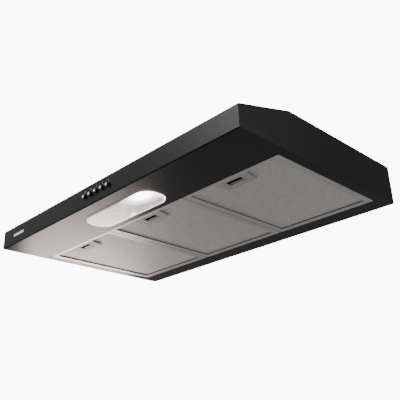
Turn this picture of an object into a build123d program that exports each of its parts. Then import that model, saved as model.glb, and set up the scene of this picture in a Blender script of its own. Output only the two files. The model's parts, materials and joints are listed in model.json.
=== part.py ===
from build123d import *
import math
import os

# Slim under-cabinet range hood. Millimetres, +Z up, +X to the right of a cook who faces the hood,
# +Y towards the wall. The origin is the middle of the flat top, in the plane of the cabinet's
# underside, where the four mounting slots are centred. The hood hangs below it and only the duct
# collar stands above it.

os.makedirs("parts", exist_ok=True)

# ---- Driving sizes of the casing ----
overall_width = 750.0
overall_depth = 465.0
overall_height = 82.0
fascia_height = 42.0
top_flat_depth = 332.0
sheet = 1.0
bend_radius = 2.0
fold_radius = 1.2
seam_gap = 0.4
fascia_gap = 2.2
inner_flange = 11.0

half_width = overall_width / 2
inner_half = half_width - sheet
rear_y = top_flat_depth / 2
knee_y = -top_flat_depth / 2
front_y = rear_y - overall_depth
base_z = -overall_height
fascia_top_z = base_z + fascia_height
floor_z = base_z + sheet
ceiling_z = -sheet

# ---- Filter bay in the underside ----
front_strip = 117.5
rear_strip = 44.5
side_strip = 19.0
side_lip = 10.0

bay_front_y = front_y + front_strip
bay_rear_y = rear_y - rear_strip
bay_half = half_width - side_strip
bay_mid_y = (bay_front_y + bay_rear_y) / 2

# ---- Mounting slots in the top ----
mount_spacing_x = 690.0
mount_spacing_y = 230.0
mount_slot_width = 6.0
mount_slot_length = 14.0

# ---- Grease filters ----
filter_names = ["left", "centre", "right"]
filter_gap = 0.6
filter_spacing = 1.6
filter_recess = 0.3
filter_thickness = 9.5
filter_wall = 0.8
filter_corner = 3.0
rim_side = 14.0
rim_front = 8.0
rim_top = 8.0
mesh_recess = 2.6
mesh_sheet = 0.6
mesh_play = 0.3
core_sheet = 0.3
core_layers = 3
core_pitch = 1.5
tab_width = 22.0
tab_reach = 7.0
tab_thickness = 1.0
tab_spacing = 150.0
tab_play = 0.3

filter_pitch = 2 * bay_half / len(filter_names)
filter_width = filter_pitch - filter_spacing
filter_depth = bay_rear_y - bay_front_y - 2 * filter_gap
filter_front_y = bay_front_y + filter_gap
filter_rear_y = bay_rear_y - filter_gap
filter_bottom_z = base_z + filter_recess
filter_top_z = filter_bottom_z + filter_thickness
ledge_height = filter_recess + filter_thickness - tab_thickness - tab_play

# ---- Filter latches ----
latch_plate_front = 82.0
latch_plate_rear = 68.0
latch_plate_depth = 43.0
finger_slot_width = 36.0
finger_slot_depth = 14.0
finger_slot_setback = 15.4
latch_case_width = 42.0
slider_width = 38.0
slider_thickness = 1.8
slider_lift = 1.4
slider_play = 0.3
slider_window_width = 28.0
slider_window_depth = 9.5
finger_lip_width = 32.0
finger_lip_depth = 3.5
finger_lip_setback = 1.0
tongue_width = 18.0
tongue_reach = 4.0
tongue_play = 0.5
latch_travel = 6.0
spring_room = 5.1
spring_radius = 1.7
spring_wire = 0.35
spring_turns = 5
spring_seat = 0.1

latch_case_rear_y = filter_front_y + latch_plate_depth - filter_wall
finger_slot_y = filter_front_y + finger_slot_setback + finger_slot_depth / 2
slider_z = filter_bottom_z + filter_wall + slider_lift
slider_front_y = filter_front_y + filter_wall + slider_play
slider_rear_y = latch_case_rear_y - latch_travel - spring_room
finger_lip_y = finger_slot_y + finger_slot_depth / 2 - finger_lip_depth - finger_lip_setback
tongue_mid_z = slider_z + slider_thickness / 2

# ---- Push buttons on the fascia ----
button_names = ["light", "off", "low_speed", "medium_speed", "high_speed"]
button_pitch = 19.2
button_row_x = 2.0
button_row_rise = 20.5
button_radius = 4.3
button_proud = 6.0
button_hole_play = 0.4
button_travel = 3.0
button_flange_radius = 5.8
button_flange = 1.5
button_stem_radius = 2.0
button_stem_length = 13.0
button_edge = 0.8
stem_play = 0.3
switch_width = 100.0
switch_depth = 18.5
switch_height = 19.0
switch_setback = 7.5
switch_cable_inset = 9.0

button_row_z = base_z + button_row_rise

# ---- Lamp ----
lens_length = 212.0
lens_width = 64.0
lens_corner = 28.0
lens_proud = 2.5
lens_wall = 2.0
lens_edge = 1.6
lens_play = 1.0
lens_upstand = 6.5
lens_setback = 37.5
lens_tongue_spacing = 110.0
lens_tongue_width = 12.0
lens_tongue_reach = 4.0
lens_snap_width = 16.0
lens_snap_reach = 2.5
lens_hook = 1.5
lens_hook_play = 0.4
rib_length = 9.0
rib_width = 1.6
rib_pitch = 8.0
rib_height = 0.7
reflector_sheet = 0.8
reflector_height = 35.0
reflector_draft = 8.0
reflector_room = 3.0
reflector_flange = 4.0
reflector_tongue_room = 2.0
lamp_rise = 23.0
bulb_radius = 11.0
bulb_length = 62.0
cap_radius = 7.0
cap_length = 18.0
holder_radius = 12.5
holder_length = 34.0
holder_socket_play = 0.3
holder_inset = 18.0

lens_mid_y = front_y + lens_setback + lens_width / 2
lens_front_y = lens_mid_y - lens_width / 2
lens_rear_y = lens_mid_y + lens_width / 2
lens_base_z = base_z - lens_proud
lamp_z = base_z + lamp_rise

# ---- Duct collar and backdraught flaps ----
collar_y = 60.0
collar_radius = 74.5
collar_wall = 1.0
collar_height = 50.0
collar_flange_width = 17.5
collar_flange = 1.5
collar_screw_offset = 9.5
duct_hole_play = 2.5
flap_axis_z = 13.0
flap_axis_spacing = 8.0
flap_play = 1.2
flap_sheet = 1.0
flap_barrel_radius = 3.0
flap_pin_radius = 1.5
flap_pin_play = 0.06
flap_barrel_inset = 10.3
flap_ledge = 3.0
flap_ledge_sheet = 1.5
flap_rest_gap = 0.3

collar_inner = collar_radius - collar_wall
collar_flange_radius = collar_radius + collar_flange_width
collar_screw_circle = 2 * (collar_radius + collar_screw_offset)
duct_hole_radius = collar_radius + duct_hole_play
flap_radius = collar_inner - flap_play
flap_barrel_half = flap_radius - flap_barrel_inset

# ---- Blower ----
fan_x = -150.0
fan_y = -12.0
volute_height = 48.0
volute_wall = 2.0
volute_start = 108.0
volute_step = 18.0
cutoff_angle = 40.0
lug_screw_length = 10.0
guard_rings = 3
guard_spokes = 6
guard_bar = 2.0
plenum_room = 7.5
plenum_corner = 20.0
inlet_plate = 2.0
inlet_radius = 66.0
inlet_lip = 5.0
impeller_radius = 90.0
impeller_ring = 14.0
impeller_height = 38.0
impeller_top_gap = 3.5
impeller_plate = 1.5
blade_count = 36
blade_thickness = 1.2
blade_angle = 35.0
dish_radius = 42.0
dish_depth = 25.0
hub_radius = 9.0
hub_length = 8.0
shaft_radius = 4.0
shaft_chamfer = 0.8
hub_fit = 0.02
nut_radius = 7.0
nut_height = 5.0
shaft_stub = 1.5
motor_radius = 34.0
motor_height = 22.0
motor_wall = 1.2
motor_ear_circle = 92.0
motor_ear_radius = 8.0
motor_ears = 3
end_plate = 1.5
stator_inner = 21.0
stator_height = 13.0
coil_stand = 3.0
rotor_radius = 20.4
bush_radius = 7.0
bush_length = 4.0
bush_play = 0.05
rubber_thickness = 2.5
rubber_radius = 6.0

plenum_half = collar_radius + plenum_room
volute_top_z = ceiling_z
volute_bottom_z = volute_top_z - volute_height
impeller_top_z = volute_top_z - volute_wall - impeller_top_gap
impeller_bottom_z = impeller_top_z - impeller_height
end_plate_top_z = volute_top_z - volute_wall - rubber_thickness
end_plate_bottom_z = end_plate_top_z - end_plate
motor_bottom_z = end_plate_bottom_z - motor_height
dish_floor_z = impeller_top_z - dish_depth
hub_bottom_z = dish_floor_z - impeller_plate - hub_length
stator_mid_z = (end_plate_bottom_z + motor_bottom_z) / 2

# ---- Electrical pieces ----
box_x = 290.0
box_y = 110.0
box_width = 76.0
box_depth = 64.0
box_height = 40.0
box_sheet = 1.0
box_rim = 6.0
grommet_bore = 7.0
grommet_neck = 10.5
grommet_rim = 14.0
grommet_rim_height = 1.5
cable_radius = 3.0
cable_ys = [98.0, 124.0]
cable_exit_drop = 17.0
bend_share = 0.45
capacitor_radius = 12.5
capacitor_length = 46.0
capacitor_x = 140.0
capacitor_y = -70.0
capacitor_lift = 2.0
capacitor_edge = 2.0
clip_sheet = 0.8
clip_width = 12.0
clip_foot = 10.0

cable_exit_z = ceiling_z - cable_exit_drop

# ---- Small pieces ----
badge_inset = 72.0
badge_rise = 19.5
badge_length = 46.0
badge_height = 6.0
badge_thickness = 0.8
screw_radius = 1.75
screw_head_radius = 3.6
screw_head = 2.0
back_screw_xs = [-300.0, -100.0, 100.0, 300.0]
back_screw_length = 6.0

badge_x = -half_width + badge_inset
badge_z = base_z + badge_rise


# ==== Casing sheets ====

def casing_bend(*ends):
    """The outer line of the bent casing: fascia, sloping brow and flat top."""
    FilletPolyline(
        (front_y, base_z),
        (front_y, fascia_top_z),
        (knee_y, 0),
        (rear_y, 0),
        *ends,
        radius=bend_radius,
    )


with BuildPart() as canopy_shell:
    with BuildSketch(Plane.YZ.offset(-inner_half)):
        with BuildLine():
            casing_bend()
            offset(amount=sheet, side=Side.RIGHT)
        make_face()
    extrude(amount=2 * inner_half)
    with BuildSketch(Plane.XY):
        with Locations((0, collar_y)):
            Circle(duct_hole_radius)
        with Locations((box_x, box_y)):
            Circle(grommet_neck + seam_gap)
        with GridLocations(mount_spacing_x, mount_spacing_y, 2, 2):
            SlotOverall(mount_slot_length, mount_slot_width)
    extrude(amount=-sheet, mode=Mode.SUBTRACT)
    with BuildSketch(Plane.XZ.offset(-front_y)):
        with Locations((button_row_x, button_row_z)):
            with GridLocations(button_pitch, 1, len(button_names), 1):
                Circle(button_radius + button_hole_play)
    extrude(amount=-sheet, mode=Mode.SUBTRACT)
canopy_shell.part.label = "canopy_shell"
export_step(canopy_shell.part, "parts/canopy_shell.step")

with BuildPart() as right_side_panel:
    with BuildSketch(Plane.YZ.offset(inner_half)):
        with BuildLine():
            casing_bend()
            Polyline((rear_y, 0), (rear_y, base_z), (front_y, base_z))
        make_face()
    extrude(amount=sheet)
    # The strip beside the filter bay, folded in under the hood, and its upturned lip.
    with BuildSketch(Plane.XZ.offset(-(bay_front_y + seam_gap))):
        with BuildLine():
            FilletPolyline(
                (bay_half, base_z + side_lip),
                (bay_half, base_z),
                (inner_half, base_z),
                radius=bend_radius,
            )
            offset(amount=sheet, side=Side.LEFT)
        make_face()
    extrude(amount=-(bay_rear_y - bay_front_y - 2 * seam_gap))
right_side_panel.part.label = "right_side_panel"
export_step(right_side_panel.part, "parts/right_side_panel.step")

with BuildPart() as left_side_panel:
    mirror(right_side_panel.part, about=Plane.YZ)
left_side_panel.part.label = "left_side_panel"
export_step(left_side_panel.part, "parts/left_side_panel.step")


def tray_profile(front, rear, front_height, rear_height):
    """A sheet lying on the underside between two y values, folded up at both edges."""
    with BuildSketch() as profile:
        with BuildLine():
            FilletPolyline(
                (front, base_z + front_height),
                (front, base_z),
                (rear, base_z),
                (rear, base_z + rear_height),
                radius=fold_radius,
            )
            offset(amount=sheet, side=Side.LEFT)
        make_face()
    return profile.sketch


with BuildPart() as light_panel:
    with BuildSketch(Plane.YZ.offset(-(inner_half - seam_gap))):
        add(tray_profile(front_y + sheet + fascia_gap, bay_front_y, inner_flange, inner_flange))
    extrude(amount=2 * (inner_half - seam_gap))
    with BuildSketch(Plane.XY.offset(base_z)):
        with Locations((0, lens_mid_y)):
            RectangleRounded(
                lens_length + 2 * lens_play, lens_width + 2 * lens_play, lens_corner + lens_play
            )
    extrude(amount=sheet, mode=Mode.SUBTRACT)
    # Keeper slots for the filter latches, in the upturned rear edge.
    with BuildSketch(Plane.XZ.offset(-bay_front_y)):
        with Locations((0, tongue_mid_z)):
            with GridLocations(filter_pitch, 1, len(filter_names), 1):
                Rectangle(tongue_width + 2 * tongue_play, slider_thickness + 2 * tongue_play)
    extrude(amount=sheet, mode=Mode.SUBTRACT)
light_panel.part.label = "light_panel"
export_step(light_panel.part, "parts/light_panel.step")

rail_back_y = rear_y - sheet - seam_gap
with BuildPart() as rear_rail:
    with BuildSketch(Plane.YZ.offset(-(inner_half - seam_gap))):
        add(tray_profile(bay_rear_y, rail_back_y, ledge_height, inner_flange + side_lip))
    extrude(amount=2 * (inner_half - seam_gap))
    with BuildSketch(Plane.XZ.offset(-rail_back_y)):
        for x in back_screw_xs:
            with Locations((x, base_z + inner_flange)):
                Circle(screw_radius + hub_fit)
    extrude(amount=sheet, mode=Mode.SUBTRACT)
rear_rail.part.label = "rear_rail"
export_step(rear_rail.part, "parts/rear_rail.step")

with BuildPart() as back_panel:
    with BuildSketch(Plane.XZ.offset(-rear_y)):
        with Locations((0, (base_z + ceiling_z) / 2)):
            Rectangle(2 * inner_half, ceiling_z - base_z)
    extrude(amount=sheet)
    with BuildSketch(Plane.XZ.offset(-rear_y)):
        for x in back_screw_xs:
            with Locations((x, base_z + inner_flange)):
                Circle(screw_radius + hub_fit)
    extrude(amount=sheet, mode=Mode.SUBTRACT)
back_panel.part.label = "back_panel"
export_step(back_panel.part, "parts/back_panel.step")

with BuildPart() as back_screws:
    for x in back_screw_xs:
        with BuildSketch(Plane.XZ.offset(-rear_y)):
            with Locations((x, base_z + inner_flange)):
                Circle(screw_head_radius)
        extrude(amount=-screw_head)
        with BuildSketch(Plane.XZ.offset(-rear_y)):
            with Locations((x, base_z + inner_flange)):
                Circle(screw_radius)
        extrude(amount=back_screw_length)
back_screws.part.label = "back_screws"
export_step(back_screws.part, "parts/back_screws.step")

with BuildPart() as badge:
    with BuildSketch(Plane.XZ.offset(-front_y)):
        with Locations((badge_x, badge_z)):
            SlotOverall(badge_length, badge_height)
    extrude(amount=badge_thickness)
badge.part.label = "badge"
export_step(badge.part, "parts/badge.step")


# ==== Grease filters and their latches ====

def filter_layer(x, width, depth):
    """The outline of one flat layer of the filter pack, notched round the latch case."""
    notch_rear_y = latch_case_rear_y + filter_wall + mesh_play
    notch_depth = latch_plate_depth + mesh_play
    with BuildSketch() as layer_outline:
        with Locations((x, bay_mid_y)):
            RectangleRounded(width, depth, filter_corner - filter_wall)
        with Locations((x, notch_rear_y - notch_depth / 2)):
            Rectangle(latch_case_width + 2 * mesh_play, notch_depth, mode=Mode.SUBTRACT)
    return layer_outline.sketch


for index, side in enumerate(filter_names):
    x = (index - (len(filter_names) - 1) / 2) * filter_pitch
    channel_width = filter_width - 2 * filter_wall
    channel_depth = filter_depth - 2 * filter_wall
    window_mid_y = (filter_front_y + rim_front + filter_rear_y - rim_side) / 2
    window_width = filter_width - 2 * rim_side
    window_depth = filter_depth - rim_front - rim_side

    with BuildPart() as filter_frame:
        with BuildSketch(Plane.XY.offset(filter_bottom_z)):
            with Locations((x, bay_mid_y)):
                RectangleRounded(filter_width, filter_depth, filter_corner)
        extrude(amount=filter_thickness)
        with BuildSketch(Plane.XY.offset(filter_bottom_z + filter_wall)):
            with Locations((x, bay_mid_y)):
                RectangleRounded(channel_width, channel_depth, filter_corner - filter_wall)
        extrude(amount=filter_thickness - 2 * filter_wall, mode=Mode.SUBTRACT)
        with BuildSketch(Plane.XY.offset(filter_top_z - filter_wall)):
            with Locations((x, bay_mid_y)):
                Rectangle(filter_width - 2 * rim_top, filter_depth - 2 * rim_top)
        extrude(amount=filter_wall, mode=Mode.SUBTRACT)
        # The rim's inner edge turns up to carry the mesh.
        with BuildSketch(Plane.XY.offset(filter_bottom_z)):
            with Locations((x, window_mid_y)):
                Rectangle(window_width + 2 * filter_wall, window_depth + 2 * filter_wall)
        extrude(amount=mesh_recess)
        with BuildSketch(Plane.XY.offset(filter_bottom_z)):
            with Locations((x, window_mid_y)):
                Rectangle(window_width, window_depth)
        extrude(amount=mesh_recess, mode=Mode.SUBTRACT)
        # The plain plate around the latch, tapering into the mesh.
        with BuildSketch(Plane.XY.offset(filter_bottom_z)):
            with BuildLine():
                Polyline(
                    (x - latch_plate_front / 2, filter_front_y + filter_wall),
                    (x + latch_plate_front / 2, filter_front_y + filter_wall),
                    (x + latch_plate_rear / 2, filter_front_y + latch_plate_depth),
                    (x - latch_plate_rear / 2, filter_front_y + latch_plate_depth),
                    close=True,
                )
            make_face()
        extrude(amount=filter_wall)
        # The latch case: a box on the plate that the slider runs in.
        with BuildSketch(Plane.XY.offset(filter_bottom_z + filter_wall)):
            with Locations((x, (filter_front_y + latch_case_rear_y + filter_wall) / 2)):
                Rectangle(latch_case_width, latch_plate_depth)
        extrude(amount=filter_thickness - filter_wall)
        with BuildSketch(Plane.XY.offset(filter_bottom_z + filter_wall)):
            with Locations((x, (filter_front_y + latch_case_rear_y + filter_wall) / 2)):
                Rectangle(latch_case_width - 2 * filter_wall, latch_plate_depth - 2 * filter_wall)
        extrude(amount=filter_thickness - 2 * filter_wall, mode=Mode.SUBTRACT)
        with BuildSketch(Plane.XY.offset(filter_bottom_z)):
            with Locations((x, finger_slot_y)):
                RectangleRounded(finger_slot_width, finger_slot_depth, filter_wall)
        extrude(amount=filter_wall, mode=Mode.SUBTRACT)
        # The case is open above the slider's window, into the hood.
        with BuildSketch(Plane.XY.offset(filter_top_z - filter_wall)):
            with Locations((x, finger_slot_y)):
                Rectangle(slider_window_width, finger_slot_depth)
        extrude(amount=filter_wall, mode=Mode.SUBTRACT)
        with BuildSketch(Plane.XZ.offset(-filter_front_y)):
            with Locations((x, tongue_mid_z)):
                Rectangle(tongue_width + 2 * tongue_play, slider_thickness + 2 * tongue_play)
        extrude(amount=-filter_wall, mode=Mode.SUBTRACT)
        # Two tabs that hang over the ledge of the rear rail.
        with BuildSketch(Plane.XY.offset(filter_top_z - tab_thickness)):
            with Locations((x, filter_rear_y + (tab_reach - filter_wall) / 2)):
                with GridLocations(tab_spacing, 1, 2, 1):
                    Rectangle(tab_width, tab_reach + filter_wall)
        extrude(amount=tab_thickness)
    filter_frame.part.label = f"{side}_filter_frame"
    export_step(filter_frame.part, f"parts/{side}_filter_frame.step")

    pack_width = channel_width - 2 * mesh_play
    pack_depth = channel_depth - 2 * mesh_play
    with BuildPart() as filter_mesh:
        with BuildSketch(Plane.XY.offset(filter_bottom_z + mesh_recess)):
            add(filter_layer(x, pack_width, pack_depth))
        extrude(amount=mesh_sheet)
    filter_mesh.part.label = f"{side}_filter_mesh"
    export_step(filter_mesh.part, f"parts/{side}_filter_mesh.step")

    with BuildPart() as filter_core:
        for layer in range(core_layers):
            layer_z = filter_bottom_z + mesh_recess + mesh_sheet + (layer + 1) * core_pitch
            with BuildSketch(Plane.XY.offset(layer_z)):
                add(filter_layer(x, pack_width, pack_depth))
            extrude(amount=core_sheet)
    filter_core.part.label = f"{side}_filter_core"
    export_step(filter_core.part, f"parts/{side}_filter_core.step")

    with BuildPart() as filter_latch:
        with BuildSketch(Plane.XY.offset(slider_z)):
            with Locations((x, (slider_front_y + slider_rear_y) / 2)):
                Rectangle(slider_width, slider_rear_y - slider_front_y)
            with Locations((x, slider_front_y)):
                Rectangle(
                    tongue_width,
                    2 * (tongue_reach + filter_wall + slider_play),
                )
            with Locations((x, finger_lip_y - slider_window_depth / 2)):
                Rectangle(slider_window_width, slider_window_depth, mode=Mode.SUBTRACT)
        extrude(amount=slider_thickness)
        lip_bottom_z = filter_bottom_z + filter_wall + slider_play
        with BuildSketch(Plane.XY.offset(lip_bottom_z)):
            with Locations((x, finger_lip_y + finger_lip_depth / 2)):
                RectangleRounded(finger_lip_width, finger_lip_depth, filter_wall)
        extrude(amount=slider_z - lip_bottom_z)
    filter_latch.part.label = f"{side}_filter_latch"
    export_step(filter_latch.part, f"parts/{side}_filter_latch.step")

    # The return spring lies along y between the slider and the back of the case.
    coil_start = (x, slider_rear_y + spring_wire + spring_seat, tongue_mid_z)
    coil_length = latch_case_rear_y - slider_rear_y - 2 * (spring_wire + spring_seat)
    with BuildPart() as latch_spring:
        with BuildLine():
            coil = Helix(
                coil_length / spring_turns,
                coil_length,
                spring_radius,
                center=coil_start,
                direction=(0, 1, 0),
            )
        with BuildSketch(Plane(origin=coil @ 0, z_dir=coil % 0)):
            Circle(spring_wire)
        sweep(is_frenet=True)
    latch_spring.part.label = f"{side}_latch_spring"
    export_step(latch_spring.part, f"parts/{side}_latch_spring.step")


# ==== Push buttons and switch ====

switch_front_y = front_y + switch_setback
for index, name in enumerate(button_names):
    x = button_row_x + (index - (len(button_names) - 1) / 2) * button_pitch
    flange_y = front_y + sheet + seam_gap
    with BuildPart() as button:
        with BuildSketch(Plane.XZ.offset(-(front_y - button_proud))):
            with Locations((x, button_row_z)):
                Circle(button_radius)
        extrude(amount=-(button_proud + sheet + seam_gap))
        chamfer(button.edges().group_by(Axis.Y)[0], button_edge)
        with BuildSketch(Plane.XZ.offset(-flange_y)):
            with Locations((x, button_row_z)):
                Circle(button_flange_radius)
        extrude(amount=-button_flange)
        with BuildSketch(Plane.XZ.offset(-(flange_y + button_flange))):
            with Locations((x, button_row_z)):
                Circle(button_stem_radius)
        extrude(amount=-button_stem_length)
    button.part.label = f"{name}_button"
    export_step(button.part, f"parts/{name}_button.step")

stem_end_y = front_y + sheet + seam_gap + button_flange + button_stem_length
with BuildPart() as switch_block:
    with BuildSketch(Plane.XZ.offset(-switch_front_y)):
        with Locations((button_row_x, button_row_z)):
            Rectangle(switch_width, switch_height)
    extrude(amount=-switch_depth)
    fillet(switch_block.edges().filter_by(Axis.Y), seam_gap)
    with BuildSketch(Plane.XZ.offset(-switch_front_y)):
        with Locations((button_row_x, button_row_z)):
            with GridLocations(button_pitch, 1, len(button_names), 1):
                Circle(button_stem_radius + stem_play)
    extrude(amount=-(stem_end_y + button_travel + stem_play - switch_front_y), mode=Mode.SUBTRACT)
switch_block.part.label = "switch_block"
export_step(switch_block.part, "parts/switch_block.step")

switch_rear_y = switch_front_y + switch_depth
with BuildPart() as switch_bracket:
    with BuildSketch(Plane.YZ.offset(button_row_x - switch_width / 2)):
        with BuildLine():
            FilletPolyline(
                (switch_rear_y - switch_depth / 2, floor_z),
                (switch_rear_y + sheet, floor_z),
                (switch_rear_y + sheet, button_row_z + switch_height / 2),
                radius=bend_radius,
            )
            offset(amount=sheet, side=Side.LEFT)
        make_face()
    extrude(amount=switch_width)
switch_bracket.part.label = "switch_bracket"
export_step(switch_bracket.part, "parts/switch_bracket.step")


# ==== Lamp ====

with BuildPart() as lamp_lens:
    with BuildSketch(Plane.XY.offset(lens_base_z)):
        with Locations((0, lens_mid_y)):
            RectangleRounded(lens_length, lens_width, lens_corner)
    extrude(amount=lens_proud + lens_upstand)
    fillet(lamp_lens.faces().sort_by(Axis.Z)[0].edges(), lens_edge)
    with BuildSketch(Plane.XY.offset(lens_base_z + lens_wall)):
        with Locations((0, lens_mid_y)):
            RectangleRounded(
                lens_length - 2 * lens_wall, lens_width - 2 * lens_wall, lens_corner - lens_wall
            )
    extrude(amount=lens_proud + lens_upstand - lens_wall, mode=Mode.SUBTRACT)
    # Two tongues hook over the panel at the front edge, and one snap at the rear.
    with BuildSketch(Plane.XY.offset(floor_z + lens_hook_play)):
        with Locations((0, lens_front_y - lens_tongue_reach / 2 + lens_wall / 2)):
            with GridLocations(lens_tongue_spacing, 1, 2, 1):
                Rectangle(lens_tongue_width, lens_tongue_reach + lens_wall)
        with Locations((0, lens_rear_y + lens_snap_reach / 2 - lens_wall / 2)):
            Rectangle(lens_snap_width, lens_snap_reach + lens_wall)
    extrude(amount=lens_hook)
    # Finger ribs on the outside, by the snap.
    with BuildSketch(Plane.XY.offset(lens_base_z - rib_height)):
        with Locations((0, lens_rear_y - rib_length)):
            with GridLocations(rib_pitch, 1, 2, 1):
                SlotOverall(rib_length, rib_width, rotation=90)
    extrude(amount=rib_height)
lamp_lens.part.label = "lamp_lens"
export_step(lamp_lens.part, "parts/lamp_lens.step")

reflector_length = lens_length + 2 * (lens_play + reflector_room)
reflector_width = lens_width + 2 * (lens_tongue_reach + reflector_tongue_room)
reflector_corner = lens_corner + lens_play
reflector_top_z = floor_z + reflector_height
with BuildPart() as lamp_reflector:
    with BuildSketch(Plane.XY.offset(floor_z)):
        with Locations((0, lens_mid_y)):
            RectangleRounded(reflector_length, reflector_width, reflector_corner)
    extrude(amount=reflector_height, taper=reflector_draft)
    offset(
        amount=-reflector_sheet,
        openings=lamp_reflector.faces().sort_by(Axis.Z)[0],
        kind=Kind.INTERSECTION,
    )
    with BuildSketch(Plane.XY.offset(floor_z)):
        with Locations((0, lens_mid_y)):
            RectangleRounded(
                reflector_length + 2 * reflector_flange,
                reflector_width + 2 * reflector_flange,
                reflector_corner + reflector_flange,
            )
            RectangleRounded(
                reflector_length - 2 * reflector_sheet,
                reflector_width - 2 * reflector_sheet,
                reflector_corner - reflector_sheet,
                mode=Mode.SUBTRACT,
            )
    extrude(amount=reflector_sheet)
    with BuildSketch(Plane.YZ.offset(-reflector_length / 2)):
        with Locations((lens_mid_y, lamp_z)):
            Circle(holder_radius + seam_gap)
    extrude(amount=holder_inset, mode=Mode.SUBTRACT)
lamp_reflector.part.label = "lamp_reflector"
export_step(lamp_reflector.part, "parts/lamp_reflector.step")

holder_face_x = -reflector_length / 2 + holder_inset
holder_start_x = holder_face_x - holder_length
with BuildPart() as lamp_holder:
    with BuildSketch(Plane.YZ.offset(holder_start_x)):
        with Locations((lens_mid_y, lamp_z)):
            Circle(holder_radius)
    extrude(amount=holder_length)
    with BuildSketch(Plane.YZ.offset(holder_face_x)):
        with Locations((lens_mid_y, lamp_z)):
            Circle(cap_radius + holder_socket_play)
    extrude(amount=-cap_length - holder_socket_play, mode=Mode.SUBTRACT)
    # The foot that stands on the panel, outside the reflector.
    foot_end_x = -reflector_length / 2 - reflector_flange - seam_gap
    with BuildSketch(Plane.YZ.offset(holder_start_x)):
        with Locations((lens_mid_y, (lamp_z + floor_z) / 2)):
            Rectangle(holder_radius, lamp_z - floor_z)
    extrude(amount=foot_end_x - holder_start_x)
lamp_holder.part.label = "lamp_holder"
export_step(lamp_holder.part, "parts/lamp_holder.step")

with BuildPart() as lamp_cap:
    with BuildSketch(Plane.YZ.offset(holder_face_x - cap_length)):
        with Locations((lens_mid_y, lamp_z)):
            Circle(cap_radius)
    extrude(amount=cap_length)
    chamfer(lamp_cap.edges().group_by(Axis.X)[0], cap_radius / 2)
lamp_cap.part.label = "lamp_cap"
export_step(lamp_cap.part, "parts/lamp_cap.step")

with BuildPart() as lamp_bulb:
    with BuildSketch(Plane.XZ.offset(-lens_mid_y)):
        bulb_axis_start = (holder_face_x, lamp_z)
        bulb_end_x = holder_face_x + bulb_length
        with BuildLine():
            Polyline(
                bulb_axis_start,
                (holder_face_x, lamp_z + cap_radius),
                (holder_face_x + bulb_radius - cap_radius, lamp_z + bulb_radius),
                (bulb_end_x - bulb_radius, lamp_z + bulb_radius),
            )
            RadiusArc(
                (bulb_end_x - bulb_radius, lamp_z + bulb_radius),
                (bulb_end_x, lamp_z),
                bulb_radius,
            )
            Line((bulb_end_x, lamp_z), bulb_axis_start)
        make_face()
    revolve(axis=Axis((0, lens_mid_y, lamp_z), (1, 0, 0)))
lamp_bulb.part.label = "lamp_bulb"
export_step(lamp_bulb.part, "parts/lamp_bulb.step")


# ==== Duct collar and backdraught flaps ====

flap_axis_ys = [collar_y - flap_axis_spacing / 2, collar_y + flap_axis_spacing / 2]
flap_bottom_z = flap_axis_z - flap_sheet / 2
ledge_top_z = flap_bottom_z - flap_rest_gap

with BuildPart() as duct_collar:
    with BuildSketch(Plane.XY):
        with Locations((0, collar_y)):
            Circle(collar_flange_radius)
    extrude(amount=collar_flange)
    with BuildSketch(Plane.XY):
        with Locations((0, collar_y)):
            Circle(collar_radius)
    extrude(amount=collar_height)
    with BuildSketch(Plane.XY):
        with Locations((0, collar_y)):
            Circle(collar_inner)
    extrude(amount=collar_height, mode=Mode.SUBTRACT)
    # The inner ledge that the closed flaps come down on.
    with BuildSketch(Plane.XY.offset(ledge_top_z - flap_ledge_sheet)):
        with Locations((0, collar_y)):
            Circle(collar_radius)
            Circle(collar_inner - flap_ledge, mode=Mode.SUBTRACT)
    extrude(amount=flap_ledge_sheet)
    with BuildSketch(Plane.YZ.offset(-collar_radius)):
        for y in flap_axis_ys:
            with Locations((y, flap_axis_z)):
                Circle(flap_pin_radius)
    extrude(amount=2 * collar_radius, mode=Mode.SUBTRACT)
    with BuildSketch(Plane.XY):
        with Locations((0, collar_y)):
            with PolarLocations(collar_screw_circle / 2, 4, start_angle=45):
                Circle(screw_radius + hub_fit)
    extrude(amount=collar_flange, mode=Mode.SUBTRACT)
duct_collar.part.label = "duct_collar"
export_step(duct_collar.part, "parts/duct_collar.step")

pin_half = collar_inner + collar_wall / 2
with BuildPart() as damper_pins:
    with BuildSketch(Plane.YZ.offset(-pin_half)):
        for y in flap_axis_ys:
            with Locations((y, flap_axis_z)):
                Circle(flap_pin_radius)
    extrude(amount=2 * pin_half)
damper_pins.part.label = "damper_pins"
export_step(damper_pins.part, "parts/damper_pins.step")

for name, axis_y, side in [
    ("front_damper_flap", flap_axis_ys[0], -1),
    ("rear_damper_flap", flap_axis_ys[1], 1),
]:
    with BuildPart() as damper_flap:
        with BuildSketch(Plane.XY.offset(flap_bottom_z)):
            with Locations((0, collar_y)):
                Circle(flap_radius)
            with Locations((0, axis_y - side * flap_radius)):
                Rectangle(2 * flap_radius, 2 * flap_radius, mode=Mode.SUBTRACT)
        extrude(amount=flap_sheet)
        with BuildSketch(Plane.YZ.offset(-flap_barrel_half)):
            with Locations((axis_y, flap_axis_z)):
                Circle(flap_barrel_radius)
        extrude(amount=2 * flap_barrel_half)
        with BuildSketch(Plane.YZ.offset(-flap_radius)):
            with Locations((axis_y, flap_axis_z)):
                Circle(flap_pin_radius + flap_pin_play)
        extrude(amount=2 * flap_radius, mode=Mode.SUBTRACT)
    damper_flap.part.label = name
    export_step(damper_flap.part, f"parts/{name}.step")

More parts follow.
